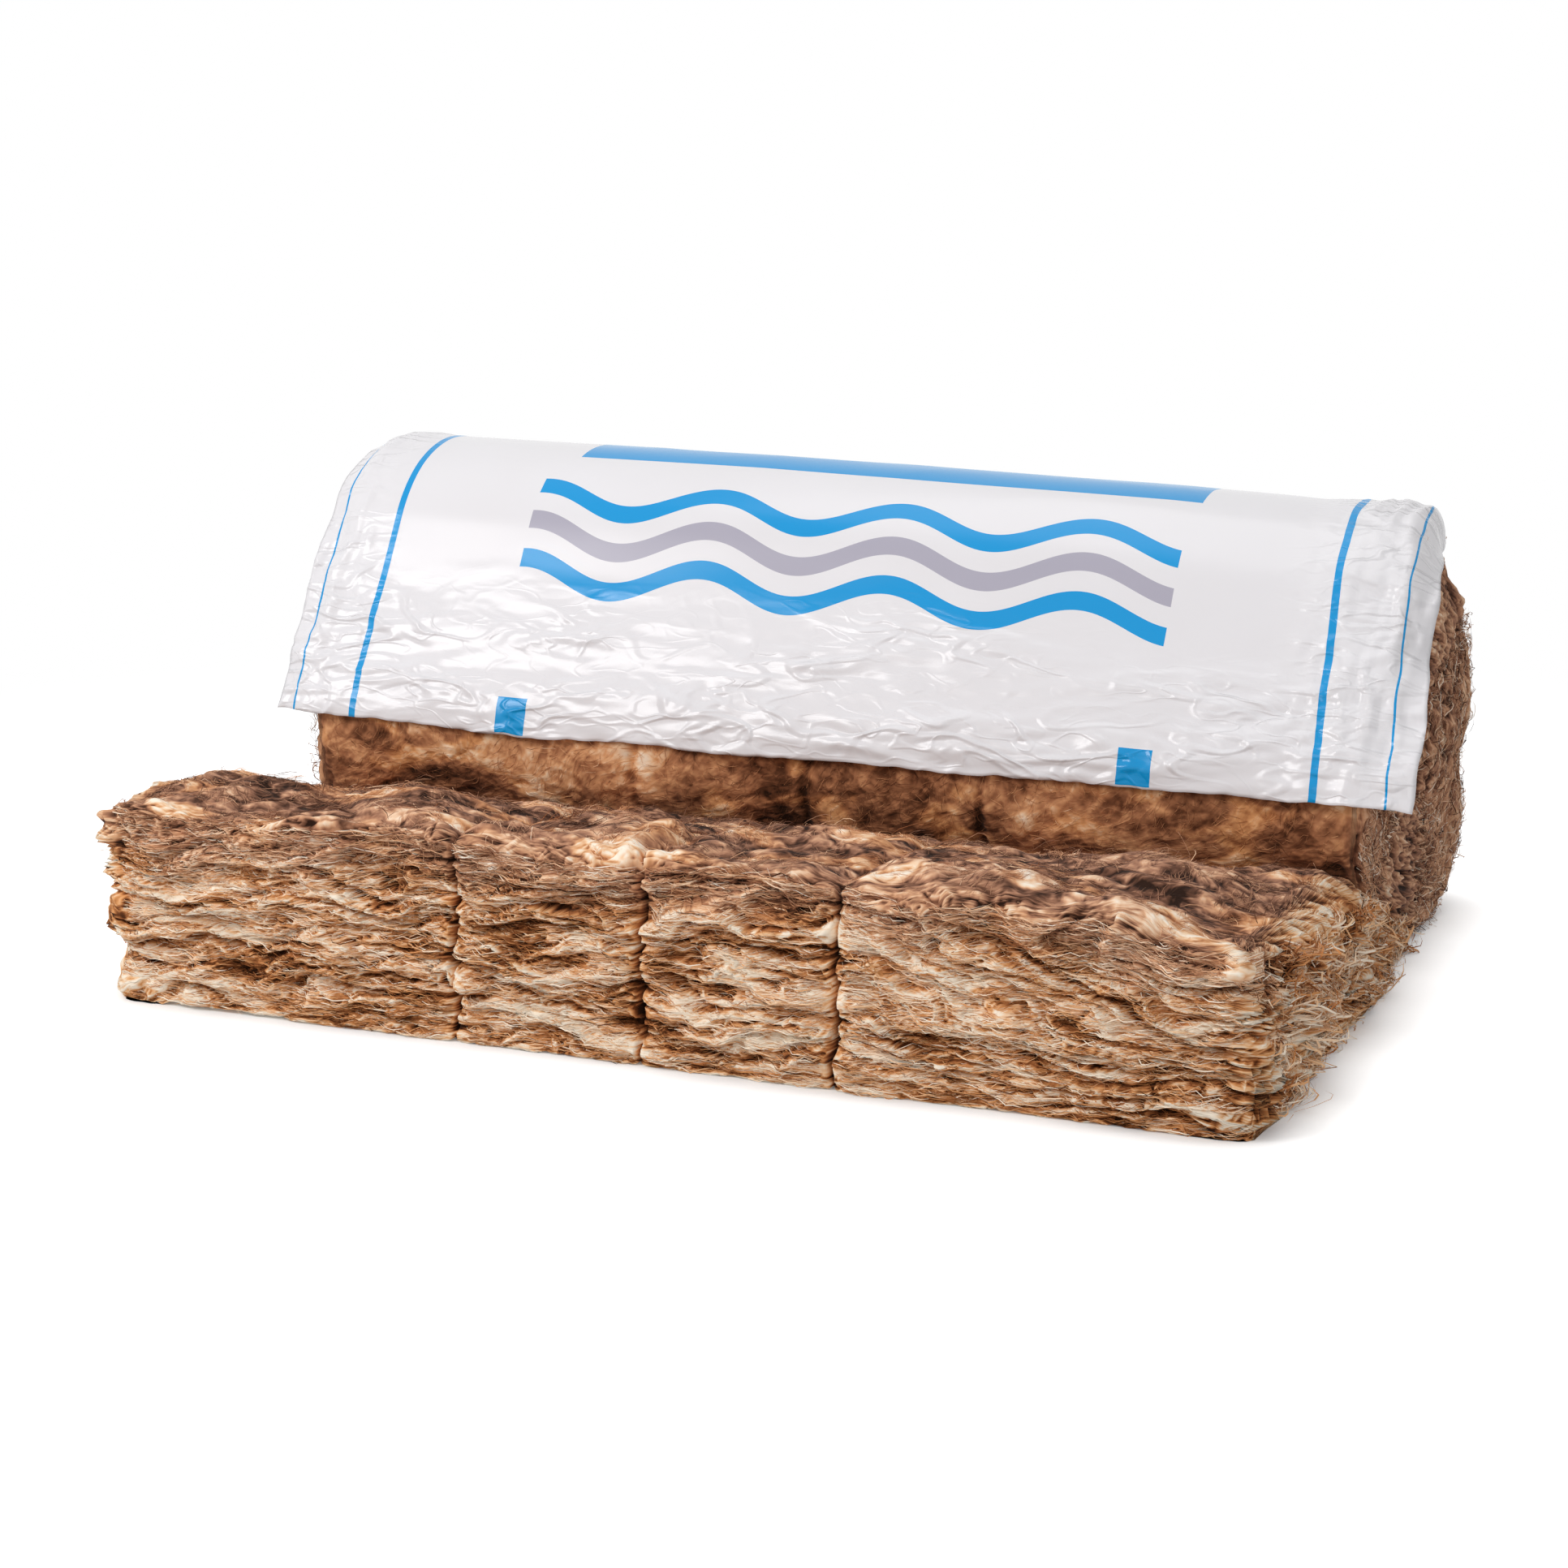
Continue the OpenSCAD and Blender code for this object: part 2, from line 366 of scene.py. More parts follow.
# Loop of the tail's section, with the part under the coil left coarse
def tailLoop():
    radius = roll["edgeRadius"]
    back = lobeCentres[1][0] - tail["wedgeGap"]
    turn = np.linspace(math.pi, math.pi / 2, 40)
    edge = np.column_stack([radius + radius * np.cos(turn), tailTop(radius) - radius + radius * np.sin(turn)])
    topY = np.linspace(radius, nipY, 200)[1:]
    top = np.column_stack([topY, tailTop(topY)])
    high, middle, low = tail["wedge"]
    line = np.concatenate([
        np.array([[back, low], [back, 0.0], [0.0, 0.0]]),
        edge,
        top,
        np.array([[lobeCentres[0][0] + tail["wedgeGap"], high], [back, middle], [back, low]]),
    ])
    run = lengthsAlong(line)
    dense = np.linspace(0, run[-1], 5000)
    spot = alongLine(line, dense)
    spacing = np.full(len(dense), tail["hiddenSpacing"])
    onFront = spot[:, 0] < tail["frontReach"]
    onTop = ~onFront & (spot[:, 0] < nipY + tail["topReach"]) & (spot[:, 1] > roll["thickness"] / 2)
    spacing[onFront & (spot[:, 1] > 1e-5)] = tail["frontSpacing"]
    spacing[onTop] = tail["topSpacing"]
    loop = alongLine(line, spacedSteps(dense, spacing))
    loop[-1] = loop[0]
    # Rows above and below end in the same few points, so that the ends close
    first, last = tail["spine"]
    step = (last - first) / tail["spineSteps"]
    spineY = first + step * np.rint((np.clip(loop[:, 0], first, last) - first) / step)
    spineZ = np.interp(spineY, [first, nipY, last], tail["spineHeights"])
    return loop, np.column_stack([spineY, spineZ])


def makeTail():
    loop, spine = tailLoop()
    columnX, keep = columnsAlong(tail)
    body = sweptBody("wool_tail", loop, spine, columnX, keep)
    base, out = readMesh(body.data)
    move, tone, grey, laid = tailShape(base, out)
    place = base + move / 1000
    # The rounded ends sit on the floor
    fromEnd = np.minimum(base[:, 0] - quiltLow.x, quiltHigh.x - base[:, 0])
    inEnd = 1 - smooth(0.012, 0.075, fromEnd)
    place[:, 2] -= 0.7 * inEnd * np.clip(0.045 - base[:, 2], 0, 0.04)
    place[:, 2] = np.maximum(place[:, 2], floorRoom)
    body.data.vertices.foreach_set("co", place.ravel())
    body.data.update()
    # Painted highlight on the lips and painted shade in the seams, from each point's height above its
    # neighbours
    tone = np.clip(tone, 0.13, 0.97) + np.clip(0.22 * paintedRidgeShading(body.data, place), -0.30, 0.18)
    giveTones(body.data, np.maximum(tone, 0.05), grey, laid / 1000)
    print("tail:", len(loop), "rows", len(columnX), "columns", 2 * len(body.data.polygons), "triangles")
    return body


coil = {
    "shownSpacing": 0.0030,
    "shownHeights": (0.10, 0.245),       # the strip between the tail and the film's edge
    "backSpacing": 0.006,    # under the film's back edge
    "hiddenSpacing": 0.016,
    "columnSpacing": 0.0036,
    "cutSpacing": 0.0014,
    "cutReach": 0.006,
    "rim": 0.016,
    "rimSteps": 8,
    "capRings": 66,
    "capReach": 0.24,
    "turnPitch": 40.0,       # mm of wool in a turn
    "crownPlaces": (0, 450, 900, 1140),  # mm from the left end
    "crownRise": (10.0, 4.0, -9.0, -22.0),   # the crown there, above its mean: it has slumped at the right
}


# The crown falls from left to right; points and film alike follow it
def crownShift(spot):
    x, z = spot[:, 0], spot[:, 2]
    rise = np.interp(x, coil["crownPlaces"], coil["crownRise"])
    return rise * smooth(190, 480, z)


# The coil's moves, tones, greyness and layers
def coilShape(base, out):
    spot = base * 1000 - np.array([quiltLow.x, quiltLow.y, 0]) * 1000
    x, y, z = spot.T
    end = np.abs(out[:, 0])
    side = 1 - end ** 2
    centred = spot[:, 1:] - 1000 * coilEye
    angle = np.arctan2(centred[:, 1], centred[:, 0])
    reachLine = coilOutline() - coilEye
    reachAngle = np.unwrap(np.arctan2(reachLine[:, 1], reachLine[:, 0]))
    reach = 1000 * np.linalg.norm(reachLine, axis=1)
    edgeReach = np.interp(np.mod(angle - reachAngle[0], 2 * math.pi) + reachAngle[0], reachAngle, reach)
    inward = 1 - np.clip(np.linalg.norm(centred, axis=1) / edgeReach, 0, 1.2)

    # Ends: wound turns, each a stack of thin wavy layers
    wander = 0.16 * grain(spot, (70, 70, 70), 61) + 0.07 * grain(spot, (26, 26, 26), 62)
    turnPlace = inward * roll["turns"] + angle / (2 * math.pi) + wander
    ringY = edgeReach * np.cos(angle) * 0.9
    ringZ = edgeReach * np.sin(angle) * 0.9
    ringed = np.column_stack([ringY, ringZ, turnPlace * coil["turnPitch"]])
    fromLine = np.abs(np.mod(turnPlace + 0.5, 1) - 0.5) * coil["turnPitch"]
    turnSeam = np.exp(-(fromLine / 2.6) ** 2)
    broad = grain(ringed, (90, 90, 13), 63)
    middle = grain(ringed, (46, 46, 6.5), 64)
    fine = grain(ringed, (22, 22, 3.4), 65)
    wisps = grain(spot, (7, 7, 7), 66)
    gaps = 0.8 * seams(broad, 0.11) + 0.6 * seams(middle, 0.13)
    swell = 9 * grain(spot, (85, 85, 85), 67)
    endMove = swell + 6 * np.abs(broad) + 4 * np.abs(middle) + 2.2 * fine + 1.3 * wisps
    endMove -= 9 * turnSeam + 5 * gaps - 4 + 10 * smooth(0.5, 1, inward)

    # Sides: matted and pressed, creased a little where it was folded
    clouds = grain(spot, (140, 110, 110), 71)
    tufts = grain(spot, (52, 40, 40), 72)
    curls = grain(spot + 12 * np.column_stack([clouds, tufts, clouds]), (19, 15, 15), 73)
    hair = grain(spot + 9 * np.column_stack([tufts, curls, clouds]), (9, 7, 7), 74)
    sway = 4 * grain(spot, (400, 70, 60), 75)
    apart = np.min(np.abs(x[:, None] + sway[:, None] - 1000 * cutLines[None, :]), axis=1)
    crease = np.exp(-(apart / 6) ** 2) * (0.7 + 0.4 * grain(spot, (300, 40, 30), 76))
    sideMove = 5 * clouds + 4 * np.abs(tufts) + 2.4 * curls + 1.2 * hair - 6 - 6 * crease
    move = out * (end ** 2 * endMove + side * sideMove)[:, None]
    move[:, 2] += crownShift(spot)
    slanted = 0.4 * x + 0.8 * edgeReach * angle
    slanted = slanted + 14 * grain(spot, (90, 70, 70), 77) + 5 * grain(spot, (30, 25, 25), 78)
    laid = np.where(end[:, None] > 0.7, ringed, np.column_stack([x, edgeReach * angle, 0.35 * slanted]))

    toneEnd = 0.47 + 0.18 * grain(ringed, (120, 120, 26), 81) + 0.16 * middle + 0.12 * fine + 0.12 * wisps
    # Painted shade in the seams between turns, in the gaps between layers and towards the sunken middle
    toneEnd -= 0.34 * turnSeam + 0.26 * np.clip(gaps, 0, 1) + 0.08 * smooth(0.3, 0.9, inward)
    stirred = spot + 14 * np.column_stack([tufts, curls, clouds])
    flocks = smooth(0.05, 0.5, grain(stirred, (75, 40, 40), 82))
    toneSide = 0.38 + 0.22 * clouds + 0.18 * tufts + 0.09 * curls + 0.08 * hair
    toneSide += 0.32 * flocks
    # Painted shade in the creases
    toneSide -= 0.35 * crease
    # Painted shade low on the coil's front, where it meets the tail
    toneSide -= 0.10 * (1 - smooth(140, 185, z)) * (y < 520)
    share = end ** 2
    grey = 0.55 * share + 0.2 * (1 - share) * (1 - flocks)
    return move, share * toneEnd + (1 - share) * toneSide, grey, laid


def makeCoil():
    line = coilOutline()
    run = lengthsAlong(line)
    dense = np.linspace(0, run[-1], 5000)
    spot = alongLine(line, dense)
    low, high = coil["shownHeights"]
    shownFront = (spot[:, 0] < lobeCentres[0][0]) & (spot[:, 1] > low) & (spot[:, 1] < high)
    shownBack = (spot[:, 0] > lobeCentres[1][0]) & (spot[:, 1] < low)
    spacing = np.where(shownFront, coil["shownSpacing"], coil["hiddenSpacing"])
    spacing = np.where(shownBack, coil["backSpacing"], spacing)
    loop = alongLine(line, spacedSteps(dense, spacing))
    loop[-1] = loop[0]
    spine = np.repeat(coilEye[None, :], len(loop), axis=0)
    columnX, keep = columnsAlong(coil)
    body = sweptBody("wool_coil", loop, spine, columnX, keep)
    base, out = readMesh(body.data)
    move, tone, grey, laid = coilShape(base, out)
    place = base + move / 1000
    place[:, 2] = np.maximum(place[:, 2], floorRoom)
    body.data.vertices.foreach_set("co", place.ravel())
    body.data.update()
    # Painted highlight on the lips and painted shade in the seams, from each point's height above its
    # neighbours
    tone = np.minimum(tone, 0.80) + np.clip(0.10 * paintedRidgeShading(body.data, place), -0.20, 0.10)
    giveTones(body.data, tone, grey, laid / 1000)
    print("coil:", len(loop), "rows", len(columnX), "columns", 2 * len(body.data.polygons), "triangles")
    return body


# Ribbons through rows of points: place, side and tone each (fibres, points, ...)
def ribbonMesh(name, place, side, tone, grey):
    count, points = place.shape[:2]
    taper = np.interp(np.linspace(0, 1, points), [0, 0.2, 0.75, 1], [0.35, 1, 0.8, 0.12])
    left = place - side * taper[None, :, None]
    right = place + side * taper[None, :, None]
    verts = np.stack([left, right], axis=2).reshape(-1, 3)
    verts[:, 2] = np.maximum(verts[:, 2], floorRoom / 2)
    first = (np.arange(count)[:, None] * points + np.arange(points - 1)[None, :]) * 2
    quads = np.stack([first, first + 1, first + 3, first + 2], axis=2).reshape(-1, 4)
    mesh = bpy.data.meshes.new(name)
    mesh.from_pydata(verts, [], quads)
    giveTones(mesh, np.repeat(tone, points * 2), np.repeat(grey, points * 2), verts)
    body = bpy.data.objects.new(name, mesh)
    bpy.context.scene.collection.objects.link(body)
    print(name + ":", count, "fibres", 2 * len(quads), "triangles")
    return body


def unit(vectors):
    return vectors / np.maximum(np.linalg.norm(vectors, axis=-1, keepdims=True), 1e-9)


# Fibres laid over a face: start points, run direction and face normal, all on the plain face
def layFibres(shape, start, run, out, settings, chance, seat=None):
    count = len(start)
    points = settings["points"]
    length = chance.uniform(*settings["length"], count)
    along = np.linspace(-0.5, 0.5, points)[None, :] * length[:, None]
    across = np.cross(out, run)
    swing = chance.uniform(*settings["wave"], count)[:, None]
    period = chance.uniform(*settings["waveLength"], count)[:, None]
    phase = chance.uniform(0, 6.3, count)[:, None]
    wave = swing * np.sin(along / period + phase)
    line = start[:, None, :] + run[:, None, :] * along[..., None] + across[:, None, :] * wave[..., None]
    flat = line.reshape(-1, 3)
    if seat is not None:
        flat[:, 0] = np.clip(flat[:, 0], quiltLow.x + 0.002, quiltHigh.x - 0.002)
        flat += np.array(seat) * rimInset(flat[:, 0])[:, None]
    outs = np.repeat(out, points, axis=0)
    move, tone, grey, _ = shape(flat, outs)
    surface = (flat + move / 1000).reshape(count, points, 3)
    upright = outs.reshape(count, points, 3)
    arch = np.sin(np.linspace(0.12, 1, points) * settings["archTurn"])[None, :]
    lift = settings["sink"] + chance.gamma(1.4, settings["lift"], count)[:, None] * arch
    place = surface + upright * lift[..., None]
    place[..., 2] = np.maximum(place[..., 2], floorRoom)
    heading = unit(np.gradient(place, axis=1))
    flatSide = unit(np.cross(upright, heading))
    twist = chance.uniform(-settings["twist"], settings["twist"], count)[:, None, None]
    side = np.cos(twist) * flatSide + np.sin(twist) * upright
    half = 0.5 * chance.uniform(*settings["width"], count)[:, None, None]
    shade = tone.reshape(count, points).mean(axis=1) * settings["toneKept"] + settings["toneAdded"]
    shade = shade + chance.normal(0, settings["toneSpread"], count)
    return place, unit(side) * half, shade, grey.reshape(count, points).mean(axis=1)


def turned(run, out, angle):
    return unit(run * np.cos(angle)[:, None] + np.cross(out, run) * np.sin(angle)[:, None])


def joinedFibres(name, batches):
    parts = [np.concatenate([batch[k] for batch in batches]) for k in range(4)]
    return ribbonMesh(name, *parts)


# Fibres combed along the cut face, in metres; the other kinds differ from them
cutFibres = {
    "points": 5,
    "length": (0.010, 0.040),
    "width": (0.0004, 0.0012),
    "wave": (0.0003, 0.0020),
    "waveLength": (0.0020, 0.006),
    "lift": 0.0010,          # mean height above the wool
    "sink": -0.0003,
    "archTurn": 2.9,         # near pi both ends lie down, and further below it the far end stands up
    "twist": 1.1,
    "perTuft": 1,
    "toneKept": 0.85,        # share of the wool's own tone
    "toneAdded": 0.16,
    "toneSpread": 0.22,
}
frizzFibres = dict(cutFibres, length=(0.011, 0.034), wave=(0.0010, 0.0050), lift=0.0029, archTurn=2.2,
                   perTuft=14, toneSpread=0.30)
curlFibres = dict(frizzFibres, length=(0.016, 0.042), wave=(0.0020, 0.0070), waveLength=(0.004, 0.009),
                  lift=0.0042, width=(0.0010, 0.0026), toneAdded=0.20, toneSpread=0.18)
turnFibres = dict(frizzFibres, lift=0.0014)
matFibres = dict(cutFibres, length=(0.012, 0.040), wave=(0.0008, 0.0045), waveLength=(0.003, 0.010),
                 lift=0.0007, width=(0.0003, 0.0008), perTuft=10, toneAdded=0.08, toneSpread=0.13)
looseFibres = dict(matFibres, lift=0.0034, archTurn=1.9, width=(0.0003, 0.0009))
feltFibres = dict(matFibres, length=(0.007, 0.022), lift=0.0004, toneSpread=0.08)
fibreCounts = {
    "front": 22500,
    "top": 10500,
    "topLoose": 1300,
    "strip": 4200,                       # on the coil, under the film's edge
    "rightEnd": (3800, 1600, 6600),      # on the tail, curled on the tail, and on the coil
    "leftEnd": (2200, 800, 3000),
}


# How far the rounded ends of the tail lie inside its plain faces
def rimInset(x):
    near = np.minimum(x - quiltLow.x, quiltHigh.x - x)
    short = np.clip(tail["rim"] - near, 0, tail["rim"])
    return tail["rim"] - np.sqrt(tail["rim"] ** 2 - short ** 2)


# Values shared by the fibres of a tuft, each with a little scatter of its own
def tufted(chance, draw, limits, count, settings, scatter):
    perTuft = settings["perTuft"]
    shared = np.repeat(draw(*limits, -(-count // perTuft)), perTuft, axis=0)[:count]
    return shared + chance.normal(0, scatter, shared.shape)


def fixed(vector, count):
    return np.repeat(np.array([vector], float), count, axis=0)


def makeFrontFibres():
    chance = np.random.default_rng(101)
    count = fibreCounts["front"]
    clear = 0.020            # fibres start this far from a cut line
    start = np.column_stack([
        chance.uniform(quiltLow.x, quiltHigh.x, count),
        np.full(count, quiltLow.y),
        chance.uniform(0.002, roll["thickness"] - 0.012, count)])
    fromCut = start[:, :1] - quiltLow.x - cutLines[None, :]
    nearest = fromCut[np.arange(count), np.argmin(np.abs(fromCut), axis=1)]
    start[:, 0] += np.where(np.abs(nearest) < clear, np.sign(nearest) * (clear - np.abs(nearest)), 0)
    out = fixed((0, -1, 0), count)
    run = turned(fixed((1, 0, 0), count), out, chance.normal(0, 0.10, count))
    front = layFibres(tailShape, start, run, out, cutFibres, chance, (0, 1, 0))
    return joinedFibres("front_fibres", [front])


def makeTopFibres():
    chance = np.random.default_rng(102)
    count = fibreCounts["top"]
    y = tufted(chance, chance.uniform, (0.0, nipY), count, matFibres, 0.004)
    y = np.clip(y, 0.0, nipY)
    x = tufted(chance, chance.uniform, (quiltLow.x, quiltHigh.x), count, matFibres, 0.006)
    start = np.column_stack([x, y + quiltLow.y, tailTop(y)])
    overEdge = np.clip(1 - y / roll["edgeRadius"], 0, 1)
    start[:, 2] -= roll["edgeRadius"] * overEdge ** 2
    out = unit(np.column_stack([np.zeros(count), -overEdge, np.ones(count)]))
    angle = 2.6 * grain(start * 1000, (130, 110, 90), 111) + chance.normal(0, 0.5, count)
    run = turned(fixed((1, 0, 0), count), out, angle)
    top = layFibres(tailShape, start, run, out, matFibres, chance, (0, 0, -1))
    some = slice(0, fibreCounts["topLoose"])
    loose = layFibres(tailShape, start[some], run[some], out[some], looseFibres, chance, (0, 0, -1))

    # The strip of coil under the film's edge
    count = fibreCounts["strip"]
    line = coilOutline()
    low = nipHeight - 0.01
    high = coil["shownHeights"][1] - 0.01
    shown = (line[:, 0] < lobeCentres[0][0]) & (line[:, 1] > low) & (line[:, 1] < high)
    pick = chance.choice(np.flatnonzero(shown), count)
    x = chance.uniform(quiltLow.x + 0.02, quiltHigh.x - 0.02, count)
    start = np.column_stack([x, line[pick, 0] + quiltLow.y, line[pick, 1]])
    away = unit(line[pick] - lobeCentres[0])
    out = np.column_stack([np.zeros(count), away])
    angle = 2.6 * grain(start * 1000, (110, 90, 70), 112) + chance.normal(0, 0.5, count)
    run = turned(fixed((1, 0, 0), count), out, angle)
    strip = layFibres(coilShape, start, run, out, feltFibres, chance)
    return joinedFibres("top_fibres", [top, loose, strip])


def makeEndFibres(name, sign, seed, tailCount, curlCount, coilCount):
    chance = np.random.default_rng(seed)
    x = quiltHigh.x if sign > 0 else quiltLow.x
    y = tufted(chance, chance.uniform, (0.03, nipY + 0.25), tailCount, frizzFibres, 0.004)
    y = np.clip(y, 0.02, 0.66)
    underCoil = np.interp(y, [nipY, nipY + 0.3], [nipHeight, 0.02])
    top = np.where(y < nipY, tailTop(np.minimum(y, nipY)), underCoil)
    share = tufted(chance, chance.uniform, (0.03, 0.86), tailCount, frizzFibres, 0.015)
    start = np.column_stack([np.full(tailCount, x), y + quiltLow.y, np.clip(share, 0.01, 0.9) * top])
    out = fixed((sign, 0, 0), tailCount)
    lean = tufted(chance, chance.normal, (0, 0.7), tailCount, frizzFibres, 0.18)
    run = turned(fixed((0, 1, 0), tailCount), out, lean)
    tailPart = layFibres(tailShape, start, run, out, frizzFibres, chance)
    some = slice(0, curlCount)
    curlPart = layFibres(tailShape, start[some], run[some], out[some], curlFibres, chance)

    # Round the coil's end the fibres follow the turns
    line = coilOutline()
    pick = chance.integers(0, len(line), coilCount)
    keep = np.sqrt(chance.uniform(0.0, 0.97, coilCount))
    section = coilEye + keep[:, None] * (line[pick] - coilEye)
    ahead = unit(line[(pick + 8) % len(line)] - line[pick - 8])
    start = np.column_stack([np.full(coilCount, x), section[:, 0] + quiltLow.y, section[:, 1]])
    out = fixed((sign, 0, 0), coilCount)
    run = turned(np.column_stack([np.zeros(coilCount), ahead]), out, chance.normal(0, 0.4, coilCount))
    coilPart = layFibres(coilShape, start, run, out, turnFibres, chance)
    return joinedFibres(name, [tailPart, curlPart, coilPart])


film = {
    "columns": 300,
    "creasedSpacing": 0.0032,
    "plainSpacing": 0.0062,
    "backSpacing": 0.0115,
    "creasedReach": 0.20,    # from the front edge up
    "backFrom": 0.05,        # past the crown
    "standOff": 0.0022,      # mean room between the film and the wool
    "thickness": 0.0003,
    "frontEdge": nipHeight + 0.078,
    "backEdge": 0.070,
    "bendRadius": 24.0,      # mm, of the film that hangs over an end
    # Bend in degrees by the place on the film: 0 is its front edge and 1 the crown
    "bendRight": ((0, 0.35, 0.8, 1.0, 1.3), (4, 26, 55, 80, 95)),
    "bendLeft": ((0, 0.5, 1.0, 1.5), (4, 12, 30, 25)),
    "slipIn": 0.012,         # behind the crown the right end has slipped in
    "lowest": -1.6,          # mm that a fold may sink towards the wool
}


# Sharp-crested folds: stretched noise folded at nought
def folds(spot, sizes, seed):
    return 1 - 2.2 * np.abs(grain(spot, sizes, seed))


# Section of the film, from its front edge over the crown to its back edge
def filmLine():
    line = coilOutline(film["standOff"])
    front = (line[:, 0] < lobeCentres[2][0]) & (line[:, 1] < film["frontEdge"])
    back = (line[:, 0] > lobeCentres[2][0]) & (line[:, 1] < film["backEdge"])
    return line[~(front | back)][::-1]


# Height of the folds over the flat film in mm, how crumpled it is, and where its parts lie
def filmFolds(spot, over):
    across, height = spot[:, 0], spot[:, 1]
    fullWidth = 1000 * (filmHigh.x - filmLow.x)
    drift = [grain(spot, (160, 60, 1), 201), grain(spot, (160, 60, 1), 202), 0 * across]
    bent = spot + 16 * np.column_stack(drift)
    lower = 1 - smooth(90, 190, height + 30 * grain(spot, (170, 400, 1), 203))
    rightEnd = smooth(fullWidth - 170, fullWidth - 60, across)
    leftEnd = 1 - smooth(20, 110, across)
    slipped = smooth(1.0, 1.30, over)
    patchy = smooth(-0.25, 0.35, grain(spot, (190, 60, 1), 204))

    crinkle = 2.2 * folds(bent, (230, 44, 1), 211) + 1.7 * folds(bent, (95, 24, 1), 212)
    crinkle += 0.9 * folds(bent, (44, 13, 1), 213)
    upright = 4.0 * folds(bent, (34, 150, 1), 221) + 2.3 * folds(bent, (16, 70, 1), 222)
    upright += 0.9 * folds(bent, (11, 22, 1), 223)
    broad = 1.5 * grain(spot, (300, 170, 1), 231) + 0.5 * folds(bent, (260, 80, 1), 232)
    slack = 5.4 * folds(bent, (330, 110, 1), 233) + 3.2 * folds(bent, (150, 62, 1), 234)
    ends = rightEnd * (upright + 0.5 * crinkle) + 0.7 * leftEnd * upright
    amount = 0.8 * broad + lower * (0.3 + 0.7 * patchy) * crinkle
    amount += (1 - 0.65 * slipped) * ends + 1.2
    amount += slipped * slack                    # it hangs looser down the back
    crumple = lower * (0.25 + 0.75 * patchy) + rightEnd + 0.7 * leftEnd + 0.35 * slipped * patchy
    return np.maximum(amount, film["lowest"]), np.clip(crumple, 0, 1), rightEnd, slipped


def makeFilm():
    line = filmLine()
    run = lengthsAlong(line)
    crownAt = run[np.argmax(line[:, 1])]
    dense = np.linspace(0, run[-1], 3000)
    spacing = np.where(dense < film["creasedReach"], film["creasedSpacing"], film["plainSpacing"])
    spacing = np.where(dense > crownAt + film["backFrom"], film["backSpacing"], spacing)
    rows = spacedSteps(dense, spacing)
    mesh, column, row = gridMesh("wrap_film_sheet", film["columns"] + 1, len(rows))
    x = np.linspace(filmLow.x, filmHigh.x, film["columns"] + 1)[column]
    up = rows[row]
    section = alongLine(line, up)
    further = alongLine(line, np.minimum(up + 0.004, run[-1]))
    nearer = alongLine(line, np.maximum(up - 0.004, 0))
    ahead = unit(further - nearer)
    out = np.column_stack([np.zeros(len(x)), -ahead[:, 1], ahead[:, 0]])
    place = np.column_stack([x, section[:, 0] + quiltLow.y, section[:, 1]])

    # Flat sheet in millimetres: across from the left film edge, up from the front edge
    across = (x - filmLow.x) * 1000
    height = up * 1000
    spot = np.column_stack([across, height, np.zeros(len(x))])
    over = up / crownAt
    amount, crumple, rightEnd, slipped = filmFolds(spot, over)

    # Past the coil's ends nothing holds the film up: it bends over the end, most of all on top,
    # and behind the crown it has slipped back until it is level with the right end
    pastLeft = np.clip(1000 * (quiltLow.x - x), 0, None)
    pastRight = np.clip(1000 * (x - quiltHigh.x), 0, None) * (1 - 0.97 * slipped)
    bend = film["bendRadius"]
    ends = (
        (pastRight, 1, film["bendRight"], quiltHigh.x),
        (pastLeft, -1, film["bendLeft"], quiltLow.x),
    )
    for past, sign, (places, degrees), edge in ends:
        limit = np.interp(over, places, degrees) + 16 * grain(spot, (400, 70, 1), 240 + sign)
        limit = np.radians(np.clip(limit, 0, 110))
        held = np.minimum(past / bend, limit)
        rest = past - held * bend
        along = bend * np.sin(held) + rest * np.cos(limit)
        drop = bend * (1 - np.cos(held)) + rest * np.sin(limit)
        outside = sign * (x - edge) > 0
        place[:, 0] = np.where(outside, edge + sign * along / 1000, place[:, 0])
        amount = np.where(outside, amount * np.cos(held), amount) - drop
    nearRight = smooth(quiltHigh.x - 0.12, quiltHigh.x, x)
    place[:, 0] -= slipped * nearRight * film["slipIn"]
    onQuilt = across + 1000 * (filmLow.x - quiltLow.x)
    shift = crownShift(np.column_stack([onQuilt, 0 * x, place[:, 2] * 1000]))
    place += out * (amount / 1000)[:, None]
    place[:, 2] += shift / 1000
    place[:, 0] += 2.5 * rightEnd * grain(spot, (60, 45, 1), 241) / 1000

    # Cut edge at the front: a little ragged
    ragged = 4.5 * grain(spot, (120, 500, 1), 251) + 2.4 * np.clip(grain(spot, (26, 500, 1), 252), -0.2, 1)
    ragged += 9 * (1 - smooth(0, 260, across))
    place[:, 2] += (1 - smooth(0, 45, height)) * ragged / 1000

    mesh.vertices.foreach_set("co", place.ravel())
    layer = mesh.uv_layers.new(name="flat")
    corner = np.empty(len(mesh.loops), int)
    mesh.loops.foreach_get("vertex_index", corner)
    layer.data.foreach_set("uv", np.column_stack([across / 1000, up])[corner].ravel())
    setFloat(mesh, "crumple", crumple)
    smoothShaded(mesh)
    mesh.update()
    sheet = bpy.data.objects.new("film_sheet", mesh)
    bpy.context.scene.collection.objects.link(sheet)
    wall = sheet.modifiers.new("film wall", "SOLIDIFY")
    wall.thickness = film["thickness"]
    wall.offset = 0
    print("film:", len(rows), "rows", 4 * len(mesh.polygons), "triangles with both faces")
    return sheet, run[-1]


def newMaterial(name):
    material = bpy.data.materials.new(name)
    material.use_nodes = True
    nodes = material.node_tree.nodes
    return material, nodes, material.node_tree.links, nodes["Principled BSDF"]


